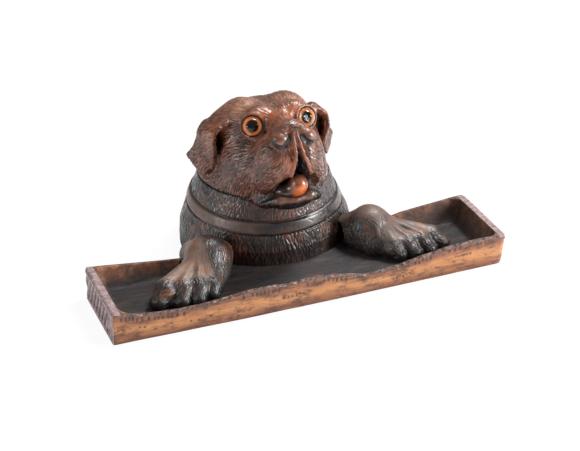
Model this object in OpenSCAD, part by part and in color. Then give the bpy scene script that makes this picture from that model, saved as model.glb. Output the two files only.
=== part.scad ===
// Desk inkstand: a hound's bust carved in wood, set behind a long pen tray with its paws lying in it.
// The head is a lid, hinged at the back, over a glass ink pot in the neck.
// Millimetres. +X runs to the viewer's right, +Y to the back, +Z up.
// The origin is the middle of the tray's underside.

/* [Pen tray] */
// Length of the tray from end to end
tray_l = 330; // [300:5:380]
// Width of the tray from front to back
tray_w = 77.4; // [72:0.2:90]
// Height of the tray at its ends
tray_h = 28; // [26:0.5:36]
// Thickness of the tray's floor
floor_t = 8; // [7:0.5:10]
// Thickness of the end walls at the rim
end_wall = 7; // [5:0.5:9]
// Thickness of the front and back walls at the rim
side_wall = 4.6; // [3.5:0.1:7]
// How far the walls lean inwards from the rim to the floor
wall_lean = 5; // [2:0.5:8]
// Radius of the trough's upright corners
trough_r = 7; // [4:0.5:12]
// Half the width of the gap in the back wall, where the bust and the paws pass
gap_half = 89; // [86:1:95]
// Bevel under the right-hand end
end_bevel = 4; // [1:0.5:6]

/* [Bust] */
// Distance from the tray's middle back to the bust's middle
bust_y = 81; // [78:1:90]
// Half the width of the bust at its foot
foot_a = 71; // [68:0.5:76]
// Half the depth of the bust at its foot
foot_b = 66; // [62:0.5:70]
// Half the width of the neck at the seam under the lid
neck_a = 54; // [52:0.5:58]
// Half the depth of the neck at the seam under the lid
neck_b = 54; // [52:0.5:58]
// Height of the seam between the neck and the lid
seam_z = 62.3; // [60:0.1:70]

/* [Collar] */
// Half the width of the bust at the collar
collar_a = 61; // [59:0.5:65]
// Half the depth of the bust at the collar
collar_b = 59.5; // [58:0.5:62]
// Height of the collar band
collar_h = 9.5; // [6:0.5:12]
// Height of the collar's middle line, over the bust's middle
collar_z = 42.3; // [38:0.1:46]
// Rise of the collar towards the back, per millimetre
collar_rise = 0.06; // [0:0.01:0.1]
// How far the collar stands out of the fur
collar_proud = 1.3; // [0.5:0.1:2.5]

/* [Head] */
// Width of the skull
skull_w = 88; // [84:1:100]
// Depth of the skull
skull_d = 90; // [86:1:98]
// Height of the skull's middle over the seam
skull_h = 68; // [64:1:76]
// Distance from the skull's front to the tip of the nose
muzzle_l = 23; // [18:1:30]
// Width of the muzzle across both lips
muzzle_w = 56; // [48:1:62]
// Drop of the jowls under the seam
jowl_drop = 9; // [5:0.5:13]
// Length of an ear from root to tip
ear_l = 46; // [36:1:52]
// Thickness of an ear
ear_t = 7; // [5:0.5:9]
// Height of the tongue's tip
tongue_d = 18; // [14:0.5:20]

/* [Eyes] */
// Diameter of a glass eye
eye_d = 16; // [13:0.5:18]
// Distance between the eyes' middles
eye_gap = 44.8; // [40:0.1:50]
// How far both eyes stand to the right of the head's middle, as carved
eye_shift = 2.2; // [0:0.1:3]
// Height of the painted back over the eye ball's middle
eye_back = 1.5; // [1:0.1:3]
// Thickness of the painted layer behind the glass
iris_t = 0.6; // [0.4:0.1:1]
// Gap round the eye in its socket
eye_clear = 0.4; // [0.3:0.1:0.8]

/* [Paws] */
// Height of a wrist over the tray's underside
wrist_h = 43; // [38:0.5:46]
// Radius of a wrist
wrist_r = 17; // [14:0.5:18]
// Radius of a toe at its knuckle
toe_r = 7.5; // [6:0.25:8.5]
// Radius of a toe at its tip
tip_r = 5.5; // [4:0.25:7]

/* [Ink pot] */
// Diameter of the glass pot's body
pot_d = 50; // [44:1:54]
// Height of the glass pot
pot_h = 42; // [30:1:44]
// Thickness of the glass
pot_wall = 3.5; // [2.5:0.5:5]
// Diameter of the pot's lip
lip_d = 56; // [52:1:60]
// Thickness of the pot's lip
lip_t = 3; // [2:0.5:4]
// Gap between the pot and its well
pot_clear = 0.4; // [0.3:0.1:0.8]
// Diameter of the hollow in the lid, over the pot
hollow_d = 72; // [70:1:76]
// Depth of the hollow in the lid
hollow_h = 22; // [12:1:24]

/* [Hinge] */
// Width of the hinge
hinge_w = 30; // [24:1:36]
// Thickness of a hinge leaf
leaf_t = 1.2; // [1:0.1:1.6]
// Depth of a leaf from the knuckle to its front edge
leaf_d = 13; // [12:0.5:15]
// Diameter of the knuckle
knuckle_d = 5; // [4.4:0.2:6]
// Diameter of the hinge pin
pin_d = 2.4; // [2:0.1:3]
// Radial gap between the pin and the turning knuckle
pin_clear = 0.05; // [0.02:0.01:0.1]
// Gap between the lid and the neck at the seam
seam_gap = 0.4; // [0.3:0.1:0.8]

/* [Fasteners] */
// Diameter of the steel screws that hold the bust on the tray
bust_screw_d = 4; // [3:0.5:5]
// Length of the steel screws
bust_screw_l = 28; // [22:1:34]
// Diameter of the hinge screws
hinge_screw_d = 2; // [1.6:0.2:2.4]
// Length of the hinge screws
hinge_screw_l = 9; // [7:0.5:12]
// Diameter of the dowels under the paws
dowel_d = 6; // [5:0.5:7]
// Depth of a dowel in the tray's floor
dowel_in_floor = 5; // [3:0.5:6]
// Depth of a dowel in the paw
dowel_in_paw = 8; // [6:0.5:9]

/* [Hidden] */

// Gap round a screw or a dowel in its wood
fix_clear = 0.05;
// Gap between the bust and the pieces that stand against it
stand_clear = 0.3;
// Reach of a cutting block past the whole object
far = 300;
// Sides of the rounds that are cut or joined as meshes
round_fn = 24;
// Sides of the balls that carved forms are blended from
ball_fn = 16;

walnut = "#4a3024";
dark_walnut = "#33251e";
tray_wood = "#8a5a34";

// Rims of the tray's walls: [place along the length from -1 to 1, height under tray_h]
front_rim = [[-1, 0], [-0.85, 5.5], [-0.66, 8.3], [-0.42, 5.6], [-0.3, 4.4], [0.02, 4.4],
    [0.24, 11], [0.42, 8.9], [0.7, 0.8], [1, 0]];
back_rim = [[-1, 0], [-0.8, 4.6], [-0.53, 9.4], [0.53, 8.6], [0.74, 3.6], [1, 0]];

module wall_outline(rim) {
    half = tray_l / 2;
    top = [for (p = rim) [p.x * half, tray_h - p.y]];
    polygon(concat([[-half, 0]], top, [[half, end_bevel], [half - end_bevel, 0]]));
}

// One half of the tray's block, from its long middle line out to one side
module tray_half(rim, side) {
    translate([0, side > 0 ? tray_w / 2 : 0, 0])
        rotate([90, 0, 0])
            linear_extrude(height = tray_w / 2)
                wall_outline(rim);
}

module trough_slice(z, inset) {
    l = tray_l / 2 - end_wall - inset - trough_r;
    w = tray_w / 2 - side_wall - inset - trough_r;
    for (x = [-l, l], y = [-w, w])
        translate([x, y, z]) cylinder(r = trough_r, h = 0.1, $fn = 32);
}

module trough() {
    hull() {
        trough_slice(floor_t, wall_lean);
        trough_slice(tray_h + 1, 0);
    }
}

// Places of the screws under the bust, inside its front foot
screw_x = 0.32 * foot_a;
screw_y = (bust_y - foot_b + tray_w / 2) / 2 + 3;
screw_sink = 0.5;

// A countersunk wood screw that points along +Z, its head's face on the ground
module screw(d, l, grow = 0) {
    cylinder(d = d + 2 * grow, h = l + grow, $fn = round_fn);
    cylinder(d1 = 2 * d + 2 * grow, d2 = d + 2 * grow, h = 0.6 * d, $fn = round_fn);
}

module at_bust_screws() {
    for (x = [-screw_x, screw_x])
        translate([x, screw_y, screw_sink]) children();
}

module pen_tray() {
    color(tray_wood)
        difference() {
            union() {
                tray_half(front_rim, -1);
                tray_half(back_rim, 1);
            }
            trough();
            // Gap in the back wall
            translate([-gap_half, 0, floor_t])
                cube([2 * gap_half, tray_w, tray_h]);
            at_bust_screws() {
                screw(bust_screw_d, floor_t, fix_clear);
                translate([0, 0, -2 * screw_sink])
                    cylinder(d = 2 * bust_screw_d + 2 * fix_clear, h = 2 * screw_sink, $fn = round_fn);
            }
            for (side = [-1, 1]) paw_dowels(side, fix_clear);
        }
}

// The bust as tilted oval rings from foot to seam: [height, rise to the back, half width, half depth]
collar_groove = 0.8;
collar_cone = 2;
function bust_rings(grow, top) = let (
    low = collar_z - collar_h / 2,
    high = collar_z + collar_h / 2,
    out = collar_cone + collar_proud)
    [for (r = [
        [0, 0, foot_a, foot_b - 1],
        [0.35 * low, 0.2 * collar_rise, foot_a - 0.5, foot_b],
        [0.7 * low, 0.6 * collar_rise, 0.6 * foot_a + 0.4 * collar_a + 1, 0.6 * foot_b + 0.4 * collar_b + 1],
        [low - collar_groove, collar_rise, collar_a + collar_cone, collar_b + collar_cone],
        [low + collar_groove, collar_rise, collar_a + out, collar_b + out],
        [collar_z, collar_rise, collar_a + collar_proud, collar_b + collar_proud],
        [high - collar_groove, collar_rise, collar_a + out - 2 * collar_cone, collar_b + out - 2 * collar_cone],
        [high + collar_groove, collar_rise, collar_a - collar_cone, collar_b - collar_cone],
        [seam_z + top, 0, neck_a, neck_b]
    ]) [r[0], r[1], r[2] + grow, r[3] + grow]];

bust_sides = 56;

function ring_points(ring) = [for (i = [0 : bust_sides - 1]) let (t = 360 * i / bust_sides)
    [ring[2] * cos(t), bust_y + ring[3] * sin(t), ring[0] + ring[1] * ring[3] * sin(t)]];

// Two triangles for each patch between one ring of n points and the next
function band_faces(rings, n) = [for (k = [0 : rings - 2], i = [0 : n - 1]) let (
    j = (i + 1) % n, a = k * n + i, b = k * n + j, c = a + n, d = b + n)
    each [[a, c, d], [a, d, b]]];

module bust_form(grow = 0, top = 0) {
    rings = bust_rings(grow, top);
    points = [for (r = rings) each ring_points(r)];
    last = (len(rings) - 1) * bust_sides;
    polyhedron(points = points, faces = concat(
        band_faces(len(rings), bust_sides),
        [[for (i = [0 : bust_sides - 1]) i]],
        [[for (i = [bust_sides - 1 : -1 : 0]) last + i]]));
}

module at_well() {
    translate([0, bust_y, seam_z]) children();
}

module bust() {
    color(walnut)
        difference() {
            bust_form();
            // Step over the tray's floor, with the rest of the foot on the table behind it
            translate([-far, -far, -far])
                cube([2 * far, far + tray_w / 2 + stand_clear, far + floor_t]);
            at_well() {
                translate([0, 0, -pot_h - pot_clear])
                    cylinder(d = pot_d + 2 * pot_clear, h = pot_h + 10, $fn = 72);
                translate([0, 0, -lip_t])
                    cylinder(d = lip_d + 2 * pot_clear, h = lip_t + 10, $fn = 72);
            }
            at_bust_screws() cylinder(d = bust_screw_d + 2 * fix_clear,
                h = bust_screw_l + 1, $fn = round_fn);
            leaf_recess(-1);
            at_hinge_screws(-1) screw(hinge_screw_d, hinge_screw_l + 0.5, fix_clear);
        }
}

// The head's middle, from which its surface is measured
head_c = [0, bust_y - 9, seam_z + 0.36 * skull_h];
skull_r = [skull_w / 2, skull_d / 2, skull_h * 0.55];
skull_c = [0, bust_y - 3, seam_z + skull_h - skull_r.z];
skull_front = skull_c.y - skull_r.y;
nose_y = skull_front - muzzle_l + 7;
nose_z = seam_z + 0.85 * skull_h;
lip_x = muzzle_w * 0.22;
jaw_z = seam_z - jowl_drop;

// Rounded forms of the head: [middle, half sizes], those off the middle plane also mirrored
side_forms = [
    // crown of the skull
    [[0.21 * skull_w, skull_c.y - 14, seam_z + 0.66 * skull_h], [0.27 * skull_w, 28, 0.38 * skull_h]],
    // cheek
    [[0.25 * skull_w, skull_c.y - 25, seam_z + 0.28 * skull_h], [0.25 * skull_w, 30, 0.35 * skull_h]],
    // brow
    [[0.17 * skull_w, skull_front + 19, seam_z + 0.9 * skull_h], [0.15 * skull_w, 13, 0.13 * skull_h]],
    // side of the upper lip
    [[lip_x, skull_front - 7, seam_z + 0.46 * skull_h], [muzzle_w / 2 - lip_x, 19, 0.32 * skull_h]],
    // wing of the nose
    [[0.15 * muzzle_w, nose_y - 1, nose_z - 1], [0.15 * muzzle_w, 9, 8]],
    // hanging jowl
    [[lip_x + 8, nose_y + 9, jaw_z + 17], [10, 15, 15]]
];
middle_forms = [
    [skull_c, skull_r],
    // bridge of the muzzle
    [[0, skull_front + 1, seam_z + 0.65 * skull_h], [0.25 * muzzle_w, 28, 0.25 * skull_h]],
    // nose
    [[0, nose_y, nose_z], [0.25 * muzzle_w, 10, 9]],
    // chin
    [[0, nose_y + 3, jaw_z + 17], [18, 15, 12]]
];
forms = concat(middle_forms, side_forms,
    [for (f = side_forms) [[-f[0].x, f[0].y, f[0].z], f[1]]]);

// Distance from the head's middle to where a ray leaves a form. It dies away softly where the ray misses.
skirt = 3;
function form_reach(dir, form) = let (
    c = form[0] - head_c,
    r = form[1],
    u = [dir.x / r.x, dir.y / r.y, dir.z / r.z],
    w = [c.x / r.x, c.y / r.y, c.z / r.z],
    a = u * u,
    b = u * w,
    s = b * b - a * (w * w - 1))
    b <= 0 && s <= 0 ? 0
        : s <= 0 ? b / a * exp(skirt * s / a)
        : max(0, (b + sqrt(s)) / a);

// The forms run softly into each other: the higher the power, the sharper the creases
blend = 22;
function head_reach(dir) = let (
    reaches = [for (f = forms) pow(form_reach(dir, f), blend)],
    ones = [for (f = forms) 1])
    pow(reaches * ones, 1 / blend);

// The head's surface in rings round the line from the nose to the back of the skull
head_rings = 26;
head_sides = 44;

function head_dir(v, t) = [sin(v) * cos(t), -cos(v), -sin(v) * sin(t)];
function head_point(v, t) = let (d = head_dir(v, t)) head_c + d * head_reach(d);

module head_form() {
    n = head_sides;
    last = head_rings * n;
    points = concat(
        [for (k = [1 : head_rings], i = [0 : n - 1])
            head_point(180 * k / (head_rings + 1), 360 * i / n)],
        [head_point(0, 0), head_point(180, 0)]);
    polyhedron(points = points, faces = concat(
        band_faces(head_rings, n),
        [for (i = [0 : n - 1]) [last, i, (i + 1) % n]],
        [for (i = [0 : n - 1]) [last + 1, last - n + (i + 1) % n, last - n + i]]));
}

module ball(p, r) {
    translate(p) sphere(r = r, $fn = ball_fn);
}

module oval(p, r) {
    translate(p) scale(r) sphere(r = 1, $fn = round_fn);
}

// Loose skin of the nape, which meets the neck at the seam
scruff_h = 26;
module scruff() {
    translate([0, bust_y, seam_z])
        scale([neck_a, neck_b, scruff_h])
            sphere(r = 1, $fn = 48);
}

// A folded ear that hangs from the side of the skull
ear_x = skull_w * 0.455;
ear_y = skull_c.y - 9;
ear_z = seam_z + 0.81 * skull_h;
module ear(side) {
    r = ear_t / 2;
    root_front = [side * ear_x, ear_y, ear_z];
    root_back = [side * (ear_x + 4), ear_y + 20, ear_z - 6];
    fold_front = [side * (ear_x + 6), ear_y - 3, ear_z - 1];
    fold_back = [side * (ear_x + 15), ear_y + 14, ear_z - 8];
    tip = [side * (ear_x + 21), ear_y + 19, ear_z - 0.65 * ear_l];
    end = [side * (ear_x + 11), ear_y + 3, ear_z - ear_l + r];
    middle = [side * (ear_x + 3), ear_y - 3, ear_z - 0.33 * ear_l];
    // cover over the root
    hull() {
        ball(root_front, r);
        ball(root_back, r);
        ball(fold_front, r);
        ball(fold_back, r);
    }
    // hanging flap
    hull() {
        ball(fold_front, r);
        ball(fold_back, r);
        ball(tip, r);
    }
    hull() {
        ball(fold_front, r);
        ball(tip, r);
        ball(end, r);
        ball(middle, r);
    }
    // flesh behind the flap
    hull() {
        ball(root_front, r);
        ball(root_back, r);
        ball(tip - [side * 4, 0, 0], r);
        ball(end, r);
        ball([side * (ear_x - 16), ear_y + 8, ear_z - 0.5 * ear_l], r);
        ball([side * 0.8 * neck_a, bust_y - 3, seam_z + 5], r);
    }
}

mouth_c = [0, nose_y - 12, seam_z + 0.3 * skull_h];

module at_eye(side) {
    translate([eye_shift + side * eye_gap / 2, skull_front + 17, seam_z + 0.81 * skull_h])
        rotate([0, 0, side * 17])
            rotate([68, 0, 0])
                children();
}

module eye_socket(side) {
    at_eye(side)
        translate([0, 0, eye_back - iris_t])
            cylinder(d = eye_d + 2 * eye_clear, h = eye_d, $fn = 40);
}

module head_lid() {
    color(walnut)
        difference() {
            union() {
                difference() {
                    union() {
                        head_form();
                        scruff();
                        for (side = [-1, 1]) ear(side);
                    }
                    oval(mouth_c, [0.24 * muzzle_w, 12, 0.14 * skull_h]);
                    for (side = [-1, 1])
                        oval([side * 0.18 * muzzle_w, nose_y - 8, nose_z - 6], [4, 5, 3]);
                }
                // tongue
                oval([0, nose_y - 6, seam_z + 0.26 * skull_h], [0.62 * tongue_d, 9, tongue_d / 2]);
            }
            // Neck side of the seam, with the jowls left hanging in front of the neck
            bust_form(seam_gap, seam_gap);
            translate([-far, bust_y - neck_b + 12, -far])
                cube([2 * far, far, far + seam_z + seam_gap]);
            translate([-far, -far, -far])
                cube([2 * far, 2 * far, far + seam_z - jowl_drop - 1]);
            at_well()
                cylinder(d = hollow_d, h = seam_gap + hollow_h, $fn = 72);
            for (side = [-1, 1]) eye_socket(side);
            leaf_recess(1);
            at_hinge_screws(1) screw(hinge_screw_d, hinge_screw_l + 0.5, fix_clear);
        }
}

module eye_glass(side) {
    color("#e8a060", 0.5)
        at_eye(side)
            difference() {
                sphere(d = eye_d, $fn = 64);
                translate([-eye_d, -eye_d, eye_back - 2 * eye_d])
                    cube(2 * eye_d);
            }
}

module eye_iris(side) {
    color("#c8621a")
        at_eye(side)
            translate([0, 0, eye_back - iris_t])
                cylinder(d = eye_d - 0.4, h = iris_t, $fn = 48);
}

// Paws, each as [wrist, four toes as [knuckle, tip]], outermost toe first
left_toes = [
    [[-113, -2, 22], [-124, -7, 14]],
    [[-101, -6, 23], [-109, -16, 14]],
    [[-90, -9, 23], [-93, -19, 14]],
    [[-77, -6, 20], [-76, -14, 14]]
];
right_toes = [
    [[122, 6, 21], [128, -1, 14]],
    [[109, -1, 22], [115, -10, 14]],
    [[95, -4, 23], [99, -13, 14]],
    [[82, -6, 20], [82, -14, 14]]
];
wrist_x = 69;
wrist_y = 21;

function paw_toes(side) = side < 0 ? left_toes : right_toes;

module toe(side, joints) {
    lift = floor_t - 8;
    root = [side * (wrist_x + 6), wrist_y - 8, 24 + lift];
    knuckle = joints[0] + [0, 0, lift];
    tip = [joints[1].x, joints[1].y, floor_t + tip_r];
    hull() {
        ball(root, toe_r + 2);
        ball(knuckle, toe_r);
    }
    hull() {
        ball(knuckle, toe_r);
        ball(tip, tip_r);
    }
    // claw
    dir = tip - knuckle;
    flat = [dir.x, dir.y, 0] / norm([dir.x, dir.y]);
    translate(tip + flat * (tip_r - 1) - [0, 0, 1])
        rotate([0, 0, atan2(flat.y, flat.x)])
            rotate([0, 100, 0])
                cylinder(r1 = 2.2, r2 = 0.8, h = 4, $fn = 16);
}

module paw(side) {
    color(dark_walnut)
        difference() {
            union() {
                // wrist and forearm, which lean against the bust
                hull() {
                    ball([side * wrist_x, wrist_y, wrist_h - wrist_r], wrist_r);
                    ball([side * (wrist_x + 4), wrist_y + 20, wrist_h - wrist_r - 10], wrist_r - 3);
                    ball([side * (wrist_x - 4), wrist_y - 4, floor_t + 8], wrist_r - 3);
                }
                hull() {
                    ball([side * wrist_x, wrist_y, wrist_h - wrist_r - 4], wrist_r - 3);
                    ball([side * (wrist_x + 14), wrist_y - 14, floor_t + 9], 11);
                }
                for (joints = paw_toes(side)) toe(side, joints);
            }
            // Flat underside on the tray's floor, and the side that leans on the bust
            translate([-far, -far, -far])
                cube([2 * far, 2 * far, far + floor_t]);
            bust_form(stand_clear);
            paw_dowels(side, fix_clear);
        }
}

module paw_dowels(side, grow = 0) {
    for (p = [[wrist_x + 1, wrist_y - 4], [wrist_x + 24, wrist_y - 21]])
        translate([side * p.x, p.y, floor_t - dowel_in_floor - grow])
            cylinder(d = dowel_d + 2 * grow, h = dowel_in_floor + dowel_in_paw + 2 * grow, $fn = 32);
}

module ink_pot() {
    ro = pot_d / 2;
    ri = ro - pot_wall;
    foot = pot_wall + 1;
    color("#b8c4c0", 0.6)
        at_well()
            difference() {
                union() {
                    translate([0, 0, -pot_h])
                        rotate_extrude($fn = 72)
                            polygon([[0, 0], [ro - 3, 0], [ro, 3], [ro, pot_h], [0, pot_h]]);
                    translate([0, 0, -lip_t])
                        cylinder(d = lip_d, h = lip_t, $fn = 72);
                }
                translate([0, 0, -pot_h + foot])
                    cylinder(r = ri, h = pot_h + 1, $fn = 72);
            }
}

// The hinge's axis runs along X in the seam, just behind the wood
hinge_y = bust_y + neck_b + knuckle_d / 2 + 0.6;
hinge_z = seam_z + seam_gap / 2;
knuckle_gap = 0.3;
knuckle_l = (hinge_w - 2 * knuckle_gap) / 3;

module at_hinge() {
    translate([0, hinge_y, hinge_z]) children();
}

// Wood side of a leaf: side -1 is in the neck, side 1 in the lid
leaf_clear = 0.1;
leaf_front = knuckle_d / 2 + leaf_d;

module leaf_recess(side) {
    at_hinge()
        translate([-hinge_w / 2 - leaf_clear, -leaf_front - leaf_clear,
                side > 0 ? -seam_gap : -seam_gap / 2 - leaf_t])
            cube([hinge_w + 2 * leaf_clear, leaf_front, seam_gap * 1.5 + leaf_t]);
}

module knuckle(x, l) {
    translate([x, 0, 0]) rotate([0, 90, 0]) cylinder(d = knuckle_d, h = l, $fn = 48);
}

module at_hinge_screws(side) {
    for (x = [-hinge_w * 0.32, hinge_w * 0.32])
        at_hinge()
            translate([x, -leaf_front + 4, side * seam_gap / 2])
                rotate([side > 0 ? 0 : 180, 0, 0])
                    children();
}

module hinge_leaf(side) {
    starts = side > 0 ? [-knuckle_l / 2] : [-hinge_w / 2, hinge_w / 2 - knuckle_l];
    color("#b08a45")
        difference() {
            at_hinge()
                union() {
                    difference() {
                        translate([-hinge_w / 2, -leaf_front, side > 0 ? seam_gap / 2 : -seam_gap / 2 - leaf_t])
                            cube([hinge_w, leaf_front, leaf_t]);
                        // Room for the other leaf's knuckles
                        for (x = side > 0 ? [-hinge_w / 2, hinge_w / 2 - knuckle_l] : [-knuckle_l / 2])
                            translate([x - knuckle_gap, -knuckle_d / 2 - knuckle_gap, -knuckle_d])
                                cube([knuckle_l + 2 * knuckle_gap, knuckle_d, 2 * knuckle_d]);
                    }
                    for (x = starts) knuckle(x, knuckle_l);
                }
            at_hinge()
                translate([-hinge_w, 0, 0])
                    rotate([0, 90, 0])
                        cylinder(d = pin_d + 2 * pin_clear, h = 2 * hinge_w, $fn = 48);
            at_hinge_screws(side) screw(hinge_screw_d, hinge_screw_l, fix_clear);
        }
}

module hinge_pin() {
    color("#9a7838")
        at_hinge() {
            translate([-hinge_w / 2 - 0.6, 0, 0])
                rotate([0, 90, 0])
                    cylinder(d = pin_d, h = hinge_w + 1.2, $fn = 48);
            for (side = [-1, 1])
                translate([side * (hinge_w / 2 + 0.6), 0, 0])
                    rotate([0, side * 90, 0])
                        translate([0, 0, -0.5])
                            cylinder(d = pin_d + 1.2, h = 1, $fn = 48);
        }
}

module hinge_screws(side) {
    color("#b9975a")
        at_hinge_screws(side) screw(hinge_screw_d, hinge_screw_l);
}

module bust_screws() {
    color("silver")
        at_bust_screws() screw(bust_screw_d, bust_screw_l);
}

module dowels(side) {
    color("#c9a878")
        paw_dowels(side);
}

pen_tray();
bust();
head_lid();
paw(-1);  // left_paw
paw(1);  // right_paw
eye_glass(-1);  // left_eye_glass
eye_glass(1);  // right_eye_glass
eye_iris(-1);  // left_eye_iris
eye_iris(1);  // right_eye_iris
ink_pot();
hinge_leaf(-1);  // hinge_leaf_lower
hinge_leaf(1);  // hinge_leaf_upper
hinge_pin();
hinge_screws(-1);  // hinge_screws_lower
hinge_screws(1);  // hinge_screws_upper
bust_screws();
dowels(-1);  // left_paw_dowels
dowels(1);  // right_paw_dowels
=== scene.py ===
import math
import bpy
import numpy as np
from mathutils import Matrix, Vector, kdtree


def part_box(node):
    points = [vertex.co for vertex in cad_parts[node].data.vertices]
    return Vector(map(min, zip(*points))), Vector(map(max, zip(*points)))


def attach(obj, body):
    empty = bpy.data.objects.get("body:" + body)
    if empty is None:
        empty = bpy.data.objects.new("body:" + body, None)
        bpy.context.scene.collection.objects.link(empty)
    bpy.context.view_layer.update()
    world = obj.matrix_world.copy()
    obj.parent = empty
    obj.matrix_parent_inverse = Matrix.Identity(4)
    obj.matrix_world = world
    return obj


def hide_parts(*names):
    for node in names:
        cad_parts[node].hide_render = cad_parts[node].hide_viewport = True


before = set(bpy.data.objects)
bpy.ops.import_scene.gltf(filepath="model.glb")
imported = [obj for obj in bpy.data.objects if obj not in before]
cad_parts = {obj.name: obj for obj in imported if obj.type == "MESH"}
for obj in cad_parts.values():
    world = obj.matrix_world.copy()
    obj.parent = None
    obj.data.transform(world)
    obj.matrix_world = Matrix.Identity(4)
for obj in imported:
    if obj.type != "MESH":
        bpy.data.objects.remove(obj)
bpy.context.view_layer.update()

# The forms below are written in millimetres, in the frame's own axes, and made in metres
MM = 0.001
rng = np.random.default_rng(7)


def box_mm(node):
    low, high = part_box(node)
    return np.array(low) / MM, np.array(high) / MM


bust_low, bust_high = box_mm("bust")
pot_low, pot_high = box_mm("ink_pot")
leaf_low, leaf_high = box_mm("hinge_leaf_lower")
# Half the tray's length and width, the seam under the head, the bust's middle and the tray's floor
half_l, half_w = box_mm("pen_tray")[1][:2]
seam_z = bust_high[2]
bust_y = (bust_low[1] + bust_high[1]) / 2
floor_z = 8.0


def held(a, top=1):
    """a kept between 0 and top."""
    return np.clip(a, 0, top)


def f32(values):
    return np.array(values, np.float32)


# Signed distances of simple forms, for arrays of points

def join(a, b, width):
    h = np.maximum(width - np.abs(a - b), 0) / width
    return np.minimum(a, b) - h * h * width * 0.25


def trim(a, b, width):
    """a without b, with a rounded edge."""
    return -join(-a, b, width)


def ease(t):
    t = held(t)
    return t * t * (3 - 2 * t)


def turn(degrees):
    """A turn about the x axis."""
    c, s = math.cos(math.radians(degrees)), math.sin(math.radians(degrees))
    return f32([[1, 0, 0], [0, c, -s], [0, s, c]])


def oval(p, middle, radii, turned=None):
    q = p - f32(middle)
    if turned is not None:
        q = q @ turned
    a = q / f32(radii)
    k0 = np.sqrt((a * a).sum(-1))
    b = a / f32(radii)
    k1 = np.sqrt((b * b).sum(-1))
    return k0 * (k0 - 1) / np.maximum(k1, 1e-6)


def limb(p, start, end, r_start, r_end=None):
    r_end = r_start if r_end is None else r_end
    start, end = f32(start), f32(end)
    along, q = end - start, p - start
    t = held((q @ along) / (along @ along))
    return np.linalg.norm(q - t[..., None] * along, axis=-1) - (r_start + (r_end - r_start) * t)


def ball(p, middle, r):
    return np.linalg.norm(p - f32(middle), axis=-1) - r


def slab(p, corners, r):
    """A flat triangle with rounded edges, 2 r thick."""
    a, b, c = (f32(v) for v in corners)
    n = np.cross(b - a, c - a)
    n /= np.linalg.norm(n)
    inside = np.ones(p.shape[:-1], bool)
    edge = np.full(p.shape[:-1], 1e9, np.float32)
    for s, e in ((a, b), (b, c), (c, a)):
        along, q = e - s, p - s
        t = held((q @ along) / (along @ along))
        edge = np.minimum(edge, np.linalg.norm(q - t[..., None] * along, axis=-1))
        inside &= (q @ np.cross(n, along)) >= 0
    return np.where(inside, np.abs((p - a) @ n), edge) - r


def mirrored(p):
    q = p.copy()
    q[..., 0] = np.abs(q[..., 0])
    return q


# Meshing of a form: a grid worked out only near its surface, then one vertex per cut cell

# Cells along a block's side, and how many blocks are worked out at a time
BLOCK = 8
BATCH = 600


def sample(form, low, high, step):
    low = f32(low)
    n = np.ceil((np.array(high) - low) / step / BLOCK).astype(int)
    centres = np.stack(np.meshgrid(*[np.arange(k) for k in n], indexing="ij"), -1)
    coarse = form((low + (centres * BLOCK + BLOCK / 2 - 0.5) * step).astype(np.float32))
    near = np.argwhere(np.abs(coarse) < BLOCK * step * 1.5 + 1)
    field = coarse.astype(np.float32)
    for axis in range(3):
        field = np.repeat(field, BLOCK, axis)
    blocks = field.reshape(n[0], BLOCK, n[1], BLOCK, n[2], BLOCK)
    inner = np.stack(np.meshgrid(*[np.arange(BLOCK)] * 3, indexing="ij"), -1)
    for part in np.array_split(near, max(1, len(near) // BATCH)):
        points = low + (part[:, None, None, None] * BLOCK + inner) * step
        blocks[part[:, 0], :, part[:, 1], :, part[:, 2], :] = form(points.astype(np.float32))
    return blocks.reshape(n * BLOCK), low


def surface(field, low, step):
    """Vertices and quads of the zero surface."""
    inside = field < 0
    corner = [(i, j, k) for i in (0, 1) for j in (0, 1) for k in (0, 1)]
    cells = [inside[i:inside.shape[0] - 1 + i, j:inside.shape[1] - 1 + j, k:inside.shape[2] - 1 + k]
             for i, j, k in corner]
    count = sum(c.astype(np.int8) for c in cells)
    cut = (count > 0) & (count < 8)
    index = np.argwhere(cut)
    number = np.full(cut.shape, -1, np.int64)
    number[cut] = np.arange(len(index))
    value = np.stack([field[index[:, 0] + i, index[:, 1] + j, index[:, 2] + k]
                      for i, j, k in corner], 1)
    total, hits = np.zeros((len(index), 3)), np.zeros(len(index))
    for a in range(8):
        for b in range(a + 1, 8):
            ca, cb = np.array(corner[a]), np.array(corner[b])
            if abs(ca - cb).sum() != 1:
                continue
            crossed = (value[:, a] < 0) != (value[:, b] < 0)
            t = value[crossed, a] / (value[crossed, a] - value[crossed, b])
            total[crossed] += ca + t[:, None] * (cb - ca)
            hits[crossed] += 1
    points = low + (index + total / hits[:, None]) * step
    quads = []
    for axis in range(3):
        u, v = [(1, 2), (2, 0), (0, 1)][axis]
        first = np.moveaxis(inside, axis, 0)[:-1]
        second = np.moveaxis(inside, axis, 0)[1:]
        edges = np.argwhere(first != second)
        edges = np.insert(edges[:, 1:], axis, edges[:, 0], 1)
        edges = edges[(edges[:, u] > 0) & (edges[:, v] > 0)
                      & (edges[:, u] < number.shape[u]) & (edges[:, v] < number.shape[v])]
        ring = []
        for du, dv in ((-1, -1), (0, -1), (0, 0), (-1, 0)):
            at = edges.copy()
            at[:, u] += du
            at[:, v] += dv
            ring.append(number[at[:, 0], at[:, 1], at[:, 2]])
        quad = np.stack(ring, 1)
        outward = inside[edges[:, 0], edges[:, 1], edges[:, 2]]
        quad[~outward] = quad[~outward][:, ::-1]
        quads.append(quad[(quad >= 0).all(1)])
    return points, np.concatenate(quads)


def gradient(form, points, reach=0.3):
    steps = np.eye(3, dtype=np.float32) * reach
    return np.stack([form(points + s) - form(points - s) for s in steps], -1) / (2 * reach)


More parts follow.
